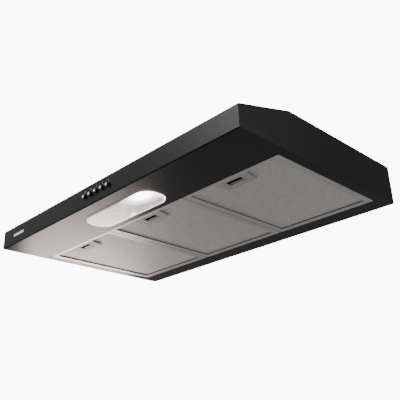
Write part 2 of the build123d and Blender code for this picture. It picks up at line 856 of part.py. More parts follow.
with BuildPart() as collar_screws:
    with BuildSketch(Plane.XY.offset(collar_flange)):
        with Locations((0, collar_y)):
            with PolarLocations(collar_screw_circle / 2, 4, start_angle=45):
                Circle(screw_head_radius)
    extrude(amount=screw_head)
    with BuildSketch(Plane.XY.offset(collar_flange)):
        with Locations((0, collar_y)):
            with PolarLocations(collar_screw_circle / 2, 4, start_angle=45):
                Circle(screw_radius)
    extrude(amount=-collar_flange)
collar_screws.part.label = "collar_screws"
export_step(collar_screws.part, "parts/collar_screws.step")


# ==== Blower ====

def volute_outline():
    """The snail-shaped inside of the blower: three widening quarter arcs, then the plenum."""
    low_x = fan_x - volute_step / 2
    low_y = fan_y - volute_step / 2
    high_x = low_x + volute_step
    high_y = low_y + volute_step
    side_radius = volute_start + volute_step
    rear_radius = side_radius + volute_step
    start = (low_x + volute_start, low_y)
    rear_wall_y = high_y + rear_radius
    corner_x = plenum_half - plenum_corner
    with BuildSketch() as outline:
        with BuildLine():
            RadiusArc(start, (low_x, low_y - volute_start), volute_start)
            RadiusArc((low_x, high_y - side_radius), (low_x - side_radius, high_y), side_radius)
            RadiusArc((high_x - rear_radius, high_y), (high_x, rear_wall_y), rear_radius)
            Line((high_x, rear_wall_y), (corner_x, rear_wall_y))
            RadiusArc(
                (corner_x, rear_wall_y), (plenum_half, rear_wall_y - plenum_corner), plenum_corner
            )
            Line((plenum_half, rear_wall_y - plenum_corner), (plenum_half, low_y + plenum_corner))
            RadiusArc((plenum_half, low_y + plenum_corner), (corner_x, low_y), plenum_corner)
            Line((corner_x, low_y), start)
        make_face()
    return outline.sketch


lug_radius = 6.0
lug_places = [
    (fan_x - volute_start - 1.5 * volute_step - lug_radius, fan_y),
    (fan_x, fan_y - volute_start - volute_step / 2 - lug_radius),
    (fan_x, fan_y + volute_start + 2.5 * volute_step + lug_radius),
    (plenum_half + lug_radius, fan_y + volute_start / 4),
    (plenum_half + lug_radius, fan_y + volute_start),
]

with BuildPart() as blower_housing:
    with BuildSketch(Plane.XY.offset(volute_bottom_z)):
        add(volute_outline())
        offset(amount=volute_wall)
        for place in lug_places:
            with Locations(place):
                Circle(lug_radius)
    extrude(amount=volute_height)
    with BuildSketch(Plane.XY.offset(volute_bottom_z)):
        add(volute_outline())
    extrude(amount=volute_height - volute_wall, mode=Mode.SUBTRACT)
    # The cut-off: the inner wall that parts the spiral from the plenum.
    cutoff_radius = volute_start - volute_step / 2
    with BuildSketch(Plane.XY.offset(volute_bottom_z)):
        with Locations((fan_x, fan_y)):
            Circle(cutoff_radius + volute_wall)
            Circle(cutoff_radius, mode=Mode.SUBTRACT)
        with BuildLine():
            cutoff_far = 2 * volute_start
            Polyline(
                (fan_x, fan_y),
                (fan_x + cutoff_far, fan_y - volute_step / 2),
                (fan_x + cutoff_far, fan_y + cutoff_far * math.tan(math.radians(cutoff_angle))),
                close=True,
            )
        make_face(mode=Mode.INTERSECT)
    extrude(amount=volute_height)
    with BuildSketch(Plane.XY.offset(volute_top_z)):
        with Locations((0, collar_y)):
            Circle(collar_inner)
    extrude(amount=-volute_wall, mode=Mode.SUBTRACT)
    with BuildSketch(Plane.XY.offset(volute_bottom_z)):
        for place in lug_places:
            with Locations(place):
                Circle(screw_radius)
    extrude(amount=2 * lug_screw_length, mode=Mode.SUBTRACT)
blower_housing.part.label = "blower_housing"
export_step(blower_housing.part, "parts/blower_housing.step")

with BuildPart() as blower_inlet_plate:
    with BuildSketch(Plane.XY.offset(volute_bottom_z - inlet_plate)):
        add(volute_outline())
        offset(amount=volute_wall)
        for place in lug_places:
            with Locations(place):
                Circle(lug_radius)
                Circle(screw_radius, mode=Mode.SUBTRACT)
        with Locations((fan_x, fan_y)):
            Circle(inlet_radius, mode=Mode.SUBTRACT)
    extrude(amount=inlet_plate)
    # The rolled inlet lip that leads air into the wheel.
    with BuildSketch(Plane.XY.offset(volute_bottom_z - inlet_plate)):
        with Locations((fan_x, fan_y)):
            Circle(inlet_radius + inlet_plate)
            Circle(inlet_radius, mode=Mode.SUBTRACT)
    extrude(amount=inlet_plate + inlet_lip)
    # A finger guard of rings and spokes across the inlet.
    with BuildSketch(Plane.XY.offset(volute_bottom_z - inlet_plate)):
        with Locations((fan_x, fan_y)):
            for ring in range(1, guard_rings + 1):
                ring_radius = inlet_radius * ring / (guard_rings + 1)
                Circle(ring_radius + guard_bar / 2)
                Circle(ring_radius - guard_bar / 2, mode=Mode.SUBTRACT)
            with PolarLocations(inlet_radius / 2, guard_spokes):
                Rectangle(inlet_radius + inlet_plate / 2, guard_bar)
    extrude(amount=inlet_plate)
blower_inlet_plate.part.label = "blower_inlet_plate"
export_step(blower_inlet_plate.part, "parts/blower_inlet_plate.step")

with BuildPart() as blower_screws:
    for place in lug_places:
        with BuildSketch(Plane.XY.offset(volute_bottom_z - inlet_plate)):
            with Locations(place):
                Circle(screw_head_radius)
        extrude(amount=-screw_head)
        with BuildSketch(Plane.XY.offset(volute_bottom_z - inlet_plate)):
            with Locations(place):
                Circle(screw_radius)
        extrude(amount=inlet_plate + lug_screw_length)
blower_screws.part.label = "blower_screws"
export_step(blower_screws.part, "parts/blower_screws.step")

with BuildPart() as impeller:
    with BuildSketch(Plane.XY.offset(impeller_top_z - impeller_plate)):
        with Locations((fan_x, fan_y)):
            Circle(impeller_radius)
            Circle(impeller_radius - impeller_ring, mode=Mode.SUBTRACT)
    extrude(amount=impeller_plate)
    with BuildSketch(Plane.XY.offset(impeller_bottom_z)):
        with Locations((fan_x, fan_y)):
            Circle(impeller_radius)
            Circle(impeller_radius - impeller_ring, mode=Mode.SUBTRACT)
    extrude(amount=impeller_plate)
    blade_mid_radius = impeller_radius - impeller_ring / 2
    with BuildSketch(Plane.XY.offset(impeller_bottom_z)):
        with Locations((fan_x, fan_y)):
            with PolarLocations(blade_mid_radius, blade_count):
                Rectangle(impeller_ring - blade_thickness, blade_thickness, rotation=blade_angle)
    extrude(amount=impeller_height)
    # The dished back that leads down from the rim, past the motor, to the hub.
    dish_rim_radius = impeller_radius - impeller_ring
    with BuildSketch(Plane(origin=(fan_x, fan_y, 0), x_dir=(1, 0, 0), z_dir=(0, -1, 0))):
        with BuildLine():
            Polyline(
                (shaft_radius + hub_fit, dish_floor_z),
                (dish_radius, dish_floor_z),
                (dish_rim_radius, impeller_top_z),
                (dish_rim_radius + impeller_plate, impeller_top_z),
                (dish_rim_radius + impeller_plate, impeller_top_z - impeller_plate),
                (dish_radius + impeller_plate, dish_floor_z - impeller_plate),
                (hub_radius, dish_floor_z - impeller_plate),
                (hub_radius, hub_bottom_z),
                (shaft_radius + hub_fit, hub_bottom_z),
                close=True,
            )
        make_face()
    revolve(axis=Axis((fan_x, fan_y, 0), (0, 0, 1)))
impeller.part.label = "impeller"
export_step(impeller.part, "parts/impeller.step")

fan_place = (fan_x, fan_y)
shaft_end_z = hub_bottom_z - nut_height - shaft_stub
with BuildPart() as motor_shaft:
    with BuildSketch(Plane.XY.offset(shaft_end_z)):
        with Locations(fan_place):
            Circle(shaft_radius)
    extrude(amount=end_plate_top_z - shaft_end_z)
    chamfer(motor_shaft.edges().group_by(Axis.Z)[0], shaft_chamfer)
motor_shaft.part.label = "motor_shaft"
export_step(motor_shaft.part, "parts/motor_shaft.step")

with BuildPart() as impeller_nut:
    with BuildSketch(Plane.XY.offset(hub_bottom_z - nut_height)):
        with Locations(fan_place):
            RegularPolygon(nut_radius, 6)
            Circle(shaft_radius + hub_fit, mode=Mode.SUBTRACT)
    extrude(amount=nut_height)
impeller_nut.part.label = "impeller_nut"
export_step(impeller_nut.part, "parts/impeller_nut.step")

with BuildPart() as motor_rotor:
    with BuildSketch(Plane.XY.offset(stator_mid_z - stator_height / 2)):
        with Locations(fan_place):
            Circle(rotor_radius)
            Circle(shaft_radius + hub_fit, mode=Mode.SUBTRACT)
    extrude(amount=stator_height)
motor_rotor.part.label = "motor_rotor"
export_step(motor_rotor.part, "parts/motor_rotor.step")

with BuildPart() as motor_stator:
    with BuildSketch(Plane.XY.offset(stator_mid_z - stator_height / 2)):
        with Locations(fan_place):
            Circle(motor_radius - motor_wall)
            Circle(stator_inner, mode=Mode.SUBTRACT)
    extrude(amount=stator_height)
    # Coil ends stand out of the core on both sides.
    coil_inner = stator_inner + motor_wall
    coil_outer = motor_radius - 2 * motor_wall
    with BuildSketch(Plane.XY.offset(stator_mid_z - stator_height / 2 - coil_stand)):
        with Locations(fan_place):
            Circle(coil_outer)
            Circle(coil_inner, mode=Mode.SUBTRACT)
    extrude(amount=stator_height + 2 * coil_stand)
motor_stator.part.label = "motor_stator"
export_step(motor_stator.part, "parts/motor_stator.step")

with BuildPart() as motor_can:
    with BuildSketch(Plane.XY.offset(motor_bottom_z)):
        with Locations(fan_place):
            Circle(motor_radius)
    extrude(amount=motor_height)
    with BuildSketch(Plane.XY.offset(motor_bottom_z + motor_wall)):
        with Locations(fan_place):
            Circle(motor_radius - motor_wall)
    extrude(amount=motor_height - motor_wall, mode=Mode.SUBTRACT)
    with BuildSketch(Plane.XY.offset(motor_bottom_z)):
        with Locations(fan_place):
            Circle(bush_radius)
    extrude(amount=motor_wall, mode=Mode.SUBTRACT)
motor_can.part.label = "motor_can"
export_step(motor_can.part, "parts/motor_can.step")

with BuildPart() as motor_end_plate:
    with BuildSketch(Plane.XY.offset(end_plate_bottom_z)):
        with Locations(fan_place):
            Circle(motor_radius)
            with PolarLocations(motor_ear_circle / 4, motor_ears):
                Rectangle(motor_ear_circle / 2, 2 * motor_ear_radius)
            with PolarLocations(motor_ear_circle / 2, motor_ears):
                Circle(motor_ear_radius)
            with PolarLocations(motor_ear_circle / 2, motor_ears):
                Circle(screw_radius + hub_fit, mode=Mode.SUBTRACT)
            Circle(bush_radius, mode=Mode.SUBTRACT)
    extrude(amount=end_plate)
motor_end_plate.part.label = "motor_end_plate"
export_step(motor_end_plate.part, "parts/motor_end_plate.step")

with BuildPart() as motor_bushes:
    for bush_z in [motor_bottom_z, end_plate_top_z - bush_length]:
        with BuildSketch(Plane.XY.offset(bush_z)):
            with Locations(fan_place):
                Circle(bush_radius)
                Circle(shaft_radius + bush_play, mode=Mode.SUBTRACT)
        extrude(amount=bush_length)
motor_bushes.part.label = "motor_bushes"
export_step(motor_bushes.part, "parts/motor_bushes.step")

with BuildPart() as motor_mounts:
    with BuildSketch(Plane.XY.offset(end_plate_top_z)):
        with Locations(fan_place):
            with PolarLocations(motor_ear_circle / 2, motor_ears):
                Circle(rubber_radius)
                Circle(screw_radius + hub_fit, mode=Mode.SUBTRACT)
    extrude(amount=rubber_thickness)
motor_mounts.part.label = "motor_mounts"
export_step(motor_mounts.part, "parts/motor_mounts.step")

with BuildPart() as motor_screws:
    with BuildSketch(Plane.XY.offset(end_plate_bottom_z)):
        with Locations(fan_place):
            with PolarLocations(motor_ear_circle / 2, motor_ears):
                Circle(screw_head_radius)
    extrude(amount=-screw_head)
    with BuildSketch(Plane.XY.offset(end_plate_bottom_z)):
        with Locations(fan_place):
            with PolarLocations(motor_ear_circle / 2, motor_ears):
                Circle(screw_radius)
    extrude(amount=end_plate + rubber_thickness)
motor_screws.part.label = "motor_screws"
export_step(motor_screws.part, "parts/motor_screws.step")


# ==== Electrical pieces ====

with BuildPart() as wiring_box:
    with BuildSketch(Plane.XY.offset(ceiling_z)):
        with Locations((box_x, box_y)):
            RectangleRounded(box_width, box_depth, bend_radius)
    extrude(amount=-box_height)
    with BuildSketch(Plane.XY.offset(ceiling_z - box_sheet)):
        with Locations((box_x, box_y)):
            Rectangle(box_width - 2 * box_sheet, box_depth - 2 * box_sheet)
    extrude(amount=-box_height, mode=Mode.SUBTRACT)
    with BuildSketch(Plane.XY):
        with Locations((box_x, box_y)):
            Circle(grommet_neck + seam_gap)
    extrude(amount=ceiling_z - box_sheet, mode=Mode.SUBTRACT)
    with BuildSketch(Plane.YZ.offset(box_x - box_width / 2)):
        for y in cable_ys:
            with Locations((y, cable_exit_z)):
                Circle(cable_radius + seam_gap)
    extrude(amount=box_sheet, mode=Mode.SUBTRACT)
wiring_box.part.label = "wiring_box"
export_step(wiring_box.part, "parts/wiring_box.step")

with BuildPart() as wiring_box_cover:
    with BuildSketch(Plane.XY.offset(ceiling_z - box_height)):
        with Locations((box_x, box_y)):
            RectangleRounded(box_width, box_depth, bend_radius)
    extrude(amount=-box_sheet)
    # The cover's rim steps up inside the box.
    with BuildSketch(Plane.XY.offset(ceiling_z - box_height)):
        with Locations((box_x, box_y)):
            Rectangle(
                box_width - 2 * (box_sheet + seam_gap), box_depth - 2 * (box_sheet + seam_gap)
            )
            Rectangle(
                box_width - 2 * (2 * box_sheet + seam_gap),
                box_depth - 2 * (2 * box_sheet + seam_gap),
                mode=Mode.SUBTRACT,
            )
    extrude(amount=box_rim)
wiring_box_cover.part.label = "wiring_box_cover"
export_step(wiring_box_cover.part, "parts/wiring_box_cover.step")

with BuildPart() as cable_grommet:
    neck_length = sheet + box_sheet
    with BuildSketch(Plane.XY):
        with Locations((box_x, box_y)):
            Circle(grommet_rim)
    extrude(amount=grommet_rim_height)
    with BuildSketch(Plane.XY):
        with Locations((box_x, box_y)):
            Circle(grommet_neck)
    extrude(amount=-neck_length)
    with BuildSketch(Plane.XY.offset(-neck_length)):
        with Locations((box_x, box_y)):
            Circle(grommet_rim)
    extrude(amount=-grommet_rim_height)
    with BuildSketch(Plane.XY.offset(grommet_rim_height)):
        with Locations((box_x, box_y)):
            Circle(grommet_bore)
    extrude(amount=-neck_length - 2 * grommet_rim_height, mode=Mode.SUBTRACT)
cable_grommet.part.label = "cable_grommet"
export_step(cable_grommet.part, "parts/cable_grommet.step")

capacitor_z = ceiling_z - capacitor_lift - capacitor_radius
with BuildPart() as capacitor:
    with BuildSketch(Plane.YZ.offset(capacitor_x)):
        with Locations((capacitor_y, capacitor_z)):
            Circle(capacitor_radius)
    extrude(amount=capacitor_length)
    fillet(capacitor.edges().group_by(Axis.X)[-1], capacitor_edge)
capacitor.part.label = "capacitor"
export_step(capacitor.part, "parts/capacitor.step")

with BuildPart() as capacitor_clip:
    clip_x = capacitor_x + (capacitor_length - clip_width) / 2
    clip_radius = capacitor_radius + clip_sheet
    clip_rise = ceiling_z - capacitor_z
    with BuildSketch(Plane.YZ.offset(clip_x)):
        with Locations((capacitor_y, capacitor_z)):
            Circle(clip_radius)
        with Locations((capacitor_y, capacitor_z + clip_rise / 2)):
            Rectangle(2 * clip_radius, clip_rise)
        with Locations((capacitor_y, ceiling_z - clip_sheet / 2)):
            Rectangle(2 * (clip_radius + clip_foot), clip_sheet)
        with Locations((capacitor_y, capacitor_z)):
            Circle(capacitor_radius, mode=Mode.SUBTRACT)
        with Locations((capacitor_y, capacitor_z + clip_rise / 2)):
            Rectangle(2 * capacitor_radius, clip_rise, mode=Mode.SUBTRACT)
    extrude(amount=clip_width)
capacitor_clip.part.label = "capacitor_clip"
export_step(capacitor_clip.part, "parts/capacitor_clip.step")


def route_radii(points):
    """A bend for each inner corner of a cable's route, as large as its two runs allow."""
    radii = []
    for before, corner, after in zip(points, points[1:], points[2:]):
        arriving = Vector(*corner) - Vector(*before)
        leaving = Vector(*after) - Vector(*corner)
        half_turn = math.radians(arriving.get_angle(leaving)) / 2
        radii.append(bend_share * min(arriving.length, leaving.length) / math.tan(half_turn))
    return radii


box_wall_x = box_x - box_width / 2
switch_end_x = button_row_x + switch_width / 2
capacitor_end_x = capacitor_x + capacitor_length
cable_routes = {
    "control_cable": [
        (box_wall_x + 2 * box_sheet, cable_ys[0], cable_exit_z),
        (box_wall_x - 16, cable_ys[0] - 3, cable_exit_z + 1),
        (box_wall_x - 26, cable_ys[0] - 26, cable_exit_z + 2),
        (box_wall_x - 28, cable_ys[0] - 78, cable_exit_z + 3),
        (box_wall_x - 26, cable_ys[0] - 140, cable_exit_z + 2),
        (box_wall_x - 34, cable_ys[0] - 205, cable_exit_z - 2),
        (box_wall_x - 57, cable_ys[0] - 260, cable_exit_z - 12),
        (switch_end_x + 120, switch_rear_y + 61, button_row_z + 19),
        (switch_end_x + 88, switch_rear_y + 21, button_row_z + 7),
        (switch_end_x + 46, switch_rear_y - switch_cable_inset, button_row_z),
        (switch_end_x, switch_rear_y - switch_cable_inset, button_row_z),
    ],
    "motor_cable": [
        (box_wall_x + 2 * box_sheet, cable_ys[1], cable_exit_z),
        (box_wall_x - 22, cable_ys[1] - 2, cable_exit_z + 1),
        (box_wall_x - 44, cable_ys[1] - 20, cable_exit_z + 2),
        (box_wall_x - 50, cable_ys[1] - 62, cable_exit_z + 3),
        (capacitor_end_x + 28, capacitor_y + 70, capacitor_z + 1),
        (capacitor_end_x + 26, capacitor_y + 24, capacitor_z),
        (capacitor_end_x + 18, capacitor_y, capacitor_z),
        (capacitor_end_x, capacitor_y, capacitor_z),
    ],
}
for name, route in cable_routes.items():
    radii = route_radii(route)
    print(name, "bend radii", [round(radius, 1) for radius in radii])
    with BuildPart() as cable:
        with BuildLine():
            line = FilletPolyline(*route, radius=radii)
        with BuildSketch(Plane(origin=line @ 0, z_dir=line % 0)):
            Circle(cable_radius)
        sweep()
    cable.part.label = name
    export_step(cable.part, f"parts/{name}.step")
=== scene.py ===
import json
import math

import bmesh
import bpy
from mathutils import Matrix, Vector


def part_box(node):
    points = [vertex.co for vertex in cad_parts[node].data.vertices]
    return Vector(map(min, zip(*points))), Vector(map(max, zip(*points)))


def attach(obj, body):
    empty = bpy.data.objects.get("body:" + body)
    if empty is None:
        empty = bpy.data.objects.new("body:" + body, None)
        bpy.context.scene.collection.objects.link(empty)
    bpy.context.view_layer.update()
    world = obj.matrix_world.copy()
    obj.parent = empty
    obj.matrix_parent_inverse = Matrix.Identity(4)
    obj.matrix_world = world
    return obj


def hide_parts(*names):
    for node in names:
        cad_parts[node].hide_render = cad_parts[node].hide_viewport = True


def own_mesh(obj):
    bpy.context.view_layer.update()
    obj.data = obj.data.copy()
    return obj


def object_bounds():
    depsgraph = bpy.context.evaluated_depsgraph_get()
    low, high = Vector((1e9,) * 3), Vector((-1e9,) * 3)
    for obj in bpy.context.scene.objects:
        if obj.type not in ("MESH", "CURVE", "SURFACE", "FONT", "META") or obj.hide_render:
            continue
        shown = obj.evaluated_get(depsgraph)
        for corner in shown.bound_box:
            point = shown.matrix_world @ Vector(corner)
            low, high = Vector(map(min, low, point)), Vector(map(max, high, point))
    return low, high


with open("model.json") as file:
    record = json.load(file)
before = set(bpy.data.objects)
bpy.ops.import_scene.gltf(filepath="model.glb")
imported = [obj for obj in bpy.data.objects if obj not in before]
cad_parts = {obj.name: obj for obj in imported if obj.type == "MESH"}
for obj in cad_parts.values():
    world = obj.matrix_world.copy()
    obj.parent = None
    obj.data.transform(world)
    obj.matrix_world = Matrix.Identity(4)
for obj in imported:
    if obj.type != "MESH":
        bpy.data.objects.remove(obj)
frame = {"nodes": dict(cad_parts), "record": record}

cad_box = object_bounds()

MM = 0.001
SIDES = ("left", "centre", "right")
BUTTONS = ("light", "off", "low_speed", "medium_speed", "high_speed")
STEP_WIDTH = 0.2 * MM


# ==== Shader maths ====

class Value:
    """A socket in a material. Arithmetic on it adds Math nodes."""

    def __init__(self, finish, socket):
        self.finish = finish
        self.socket = socket

    def _math(self, operation, first, second, clamp=False):
        settings = {"operation": operation, "use_clamp": clamp}
        return self.finish.node("ShaderNodeMath", settings, {0: first, 1: second})

    def __add__(self, other):
        return self._math("ADD", self, other)

    __radd__ = __add__

    def __sub__(self, other):
        return self._math("SUBTRACT", self, other)

    def __rsub__(self, other):
        return self._math("SUBTRACT", other, self)

    def __mul__(self, other):
        return self._math("MULTIPLY", self, other)

    __rmul__ = __mul__

    def __truediv__(self, other):
        return self._math("DIVIDE", self, other)

    def __pow__(self, other):
        return self._math("POWER", self, other)

    def clamp(self):
        return self._math("ADD", self, 0.0, clamp=True)

    def above_zero(self):
        return self._math("MAXIMUM", self, 0.0)

    def step(self, width=STEP_WIDTH):
        """For a distance in metres: 0 below zero, and 1 from a short width above it."""
        return (self * (1 / width)).clamp()


class Finish:
    """One procedural material, built node by node around a Principled shader."""

    def __init__(self, name, **shader_values):
        self.material = bpy.data.materials.new(name)
        self.material.use_nodes = True
        self.tree = self.material.node_tree
        self.tree.nodes.clear()
        self.shader = self.tree.nodes.new("ShaderNodeBsdfPrincipled")
        output = self.tree.nodes.new("ShaderNodeOutputMaterial")
        self.tree.links.new(self.shader.outputs[0], output.inputs["Surface"])
        for socket, value in shader_values.items():
            self.set(socket.replace("_", " "), value)

    def _connect(self, target, value):
        if isinstance(value, Value):
            self.tree.links.new(value.socket, target)
        elif isinstance(value, (tuple, list)) and target.type == "RGBA":
            target.default_value = (*value[:3], 1.0)
        else:
            target.default_value = value

    def set(self, socket, value):
        """Gives one of the shader's sockets a plain value or a link."""
        self._connect(self.shader.inputs[socket], value)

    def node(self, kind, settings=None, sockets=None, output=0):
        """Adds a node with its settings first, then its sockets, and returns one of its outputs."""
        made = self.tree.nodes.new(kind)
        for name, value in (settings or {}).items():
            if name == "stops":
                ramp = made.color_ramp
                while len(ramp.elements) < len(value):
                    ramp.elements.new(1.0)
                for element, (place, shade) in zip(ramp.elements, value):
                    element.position = place
                    element.color = (shade, shade, shade, 1.0)
            else:
                setattr(made, name, value)
        for name, value in (sockets or {}).items():
            self._connect(made.inputs[name], value)
        return Value(self, made.outputs[output])

    def place(self):
        """The point on the object, in metres."""
        return self.node("ShaderNodeTexCoord", output="Object")

    def axis(self, index):
        return self.node("ShaderNodeSeparateXYZ", None, {0: self.place()}, output=index)

    def distance_from(self, index, middle):
        """How far the point is from a middle value along one axis."""
        offset = self.axis(index) - middle
        return self.node("ShaderNodeMath", {"operation": "ABSOLUTE"}, {0: offset})

    def offset_in_row(self, middle, pitch):
        """The offset along x from the nearest of a row of middles, given the first of them."""
        along = self.axis(0) - (middle - 1.5 * pitch)
        within = self.node("ShaderNodeMath", {"operation": "MODULO"}, {0: along, 1: pitch})
        return within - pitch / 2

    def stretched(self, scale, centre=(0, 0, 0)):
        """The place, moved to a centre and then scaled along each axis."""
        moved = self.node(
            "ShaderNodeVectorMath", {"operation": "SUBTRACT"}, {0: self.place(), 1: centre}
        )
        return self.node(
            "ShaderNodeVectorMath", {"operation": "MULTIPLY"}, {0: moved, 1: scale}
        )

    def noise(self, scale, detail=2.0, roughness=0.5):
        """A noise of 0 to 1 with its own number of cells per metre along each axis."""
        if not isinstance(scale, tuple):
            scale = (scale, scale, scale)
        sockets = {
            "Vector": self.stretched(scale),
            "Scale": 1.0,
            "Detail": detail,
            "Roughness": roughness,
        }
        return self.node("ShaderNodeTexNoise", None, sockets)

    def cell_colour(self, scale):
        """A colour of its own for each cell, with that many cells per metre."""
        sockets = {"Vector": self.stretched((scale, scale, scale)), "Scale": 1.0}
        return self.node("ShaderNodeTexVoronoi", {"feature": "F1"}, sockets, output="Color")

    def ramp(self, value, *stops):
        return self.node("ShaderNodeValToRGB", {"stops": stops}, {0: value})

    def blend(self, factor, first, second):
        """A colour between two colours."""
        # Of the mix node's sockets that share a name, the colours are 6 and 7, and 2 comes out.
        sockets = {"Factor": factor, 6: first, 7: second}
        return self.node("ShaderNodeMix", {"data_type": "RGBA"}, sockets, output=2)

    def bump(self, height, depth, strength=1.0):
        """Raises the surface by a height of 0 to 1 times a depth in metres."""
        sockets = {"Height": height, "Distance": depth, "Strength": strength}
        self.set("Normal", self.node("ShaderNodeBump", None, sockets))


# ==== Finishes ====

# Noise cells per metre along x, y and z, for grain that runs across, along or both ways.
ALONG_X = (900, 60, 60)
ALONG_Y = (60, 900, 60)
BOTH_WAYS = (900, 900, 60)


def black_paint(name, matt_below=None):
    """Black semi-gloss coating over fine brushed steel, the grain running front to back.

    A cut edge that faces down, under the height given, is thinly coated and matt.
    """
    paint = Finish(name, IOR=1.24)
    grain = paint.noise((1500, 30, 60), detail=3.0, roughness=0.6)
    streaks = paint.noise((280, 9, 25), detail=2.0)
    cloud = paint.noise(6.0, detail=3.0)
    dust = paint.ramp(cloud, (0.45, 0.0), (0.85, 1.0))
    clean, dusty = (0.0075, 0.0075, 0.0078), (0.013, 0.0128, 0.0125)
    paint.set("Base Color", paint.blend(dust, clean, dusty))
    roughness = 0.25 + grain * 0.10 + streaks * 0.08
    if matt_below is not None:
        cut_edge = (matt_below - paint.axis(2)).step()
        roughness = roughness + cut_edge * 0.6
    paint.set("Roughness", roughness)
    paint.bump(grain * 0.6 + streaks * 0.4, 0.04 * MM)
    return paint


def rolling_lines(metal, grain=ALONG_Y):
    """Fine lines left by the rolling mill, raised a little."""
    lines = metal.noise(grain, detail=3.0, roughness=0.65)
    metal.bump(lines, 0.03 * MM)
    return lines


def handling_marks(metal):
    return metal.ramp(metal.noise(90.0, detail=4.0), (0.35, 0.0), (0.7, 1.0))


def rolled_metal(name, shade, roughness, tint=(1.0, 1.0, 1.0), grain=ALONG_Y, metallic=1.0):
    """Mill-finished sheet with fine rolling lines and faint handling marks."""
    marked_share = 0.93
    metal = Finish(name, Metallic=metallic)
    lines = rolling_lines(metal, grain)
    light = tuple(shade * part for part in tint)
    dark = tuple(marked_share * shade * part for part in tint)
    metal.set("Base Color", metal.blend(handling_marks(metal), light, dark))
    metal.set("Roughness", roughness - 0.04 + lines * 0.08)
    return metal


def folded_aluminium():
    """The filter frames' aluminium: clean on its flat face, with painted shade on every face above
    it: side walls, folds and latch slot walls.
    """
    face_play = 0.3 * MM
    plate_half_width = 44 * MM
    plate_front = 8 * MM
    plate_rear = 60 * MM
    low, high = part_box("left_filter_frame")
    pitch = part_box("centre_filter_frame")[0].x - low.x
    metal = Finish("filter aluminium", Metallic=0.7)
    lines = rolling_lines(metal)
    # Painted shade: every face above the flat bottom face is darkened, including the side walls,
    # the upturned rims and the walls of the gaps between filters.
    painted_fold_shade = (metal.axis(2) - low.z - face_play).step()
    # The plate round the latch is plainer, more matt and a little darker than the rim.
    off_x = metal.offset_in_row((low.x + high.x) / 2, pitch)
    across = (plate_half_width - (off_x * off_x) ** 0.5).step()
    behind_rim = (metal.axis(1) - low.y - plate_front).step()
    in_front = (low.y + plate_rear - metal.axis(1)).step()
    plate = across * behind_rim * in_front
    rim_light, rim_dark = (0.46, 0.453, 0.446), (0.43, 0.424, 0.417)
    rim_shade = metal.blend(handling_marks(metal), rim_light, rim_dark)
    clean = metal.blend(plate, rim_shade, (0.37, 0.34, 0.32))
    # The painted shade's colours: dark grey, and near black round the latch plate, on the slot and
    # case walls.
    fold_shade_colour = metal.blend(plate, (0.12, 0.115, 0.11), (0.035, 0.032, 0.030))
    metal.set("Base Color", metal.blend(painted_fold_shade, clean, fold_shade_colour))
    metal.set("Roughness", 0.42 + lines * 0.10 + plate * 0.16)
    return metal


def latch_metal():
    """Steel painted near black as the shade inside the latch case, with the plated edge of the
    finger lip below it.
    """
    face_play = 0.2 * MM
    plated_depth = 4.9 * MM
    low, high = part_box("left_filter_latch")
    metal = Finish("latch metal", Metallic=0.8)
    lines = rolling_lines(metal, ALONG_X)
    # Painted shade: every face above the latch's bottom face, and the front part of that face, is
    # near black, as the shade inside the case.
    above = (metal.axis(2) - low.z - face_play).step()
    inner = (high.y - plated_depth - metal.axis(1)).step()
    black = (above + inner).clamp()
    plated = metal.blend(lines, (0.74, 0.725, 0.71), (0.66, 0.65, 0.64))
    metal.set("Base Color", metal.blend(black, plated, (0.010, 0.010, 0.010)))
    metal.set("Roughness", 0.34 + lines * 0.10 + black * 0.5)
    return metal


def zinc_steel():
    """Galvanised sheet with a spangle of dull crystals."""
    zinc = Finish("zinc steel", Metallic=1.0)
    spangle = zinc.node("ShaderNodeSeparateColor", None, {0: zinc.cell_colour(160.0)})
    zinc.set("Base Color", zinc.blend(spangle, (0.46, 0.47, 0.49), (0.66, 0.67, 0.69)))
    zinc.set("Roughness", 0.34 + spangle * 0.16)
    zinc.bump(zinc.noise(700.0), 0.02 * MM)
    return zinc


def chrome():
    """Polished chrome with a trace of haze, with painted shade outside the crown of each button,
    which keeps its bright reflection small.
    """
    button_radius = 4.3 * MM
    low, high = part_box("light_button")
    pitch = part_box("off_button")[0].x - low.x
    middle = (low + high) / 2
    bright = Finish("button chrome", Metallic=1.0)
    haze = bright.noise(260.0, detail=3.0)
    off_x = bright.offset_in_row(middle.x, pitch)
    off_z = bright.axis(2) - middle.z
    spread = ((off_x * off_x + off_z * off_z) ** 0.5) / button_radius
    # Painted shade: each button is dark outside its crown, so only its middle shows the bright
    # reflection.
    crown = bright.ramp(spread, (0.50, 1.0), (0.72, 0.0))
    polished = bright.blend(haze, (0.90, 0.90, 0.91), (0.80, 0.80, 0.82))
    bright.set("Base Color", bright.blend(crown, (0.20, 0.20, 0.21), polished))
    bright.set("Roughness", 0.10 + haze * 0.10)
    return bright


def moulded_plastic(name, low, high, roughness=0.45):
    """Moulded plastic with a spark-eroded surface, between two close colours."""
    plastic = Finish(name)
    eroded = plastic.noise(1400.0, detail=2.0)
    flow = plastic.noise(18.0, detail=3.0)
    plastic.set("Base Color", plastic.blend(flow, low, high))
    plastic.set("Roughness", roughness - 0.06 + eroded * 0.14)
    plastic.bump(eroded, 0.05 * MM)
    return plastic


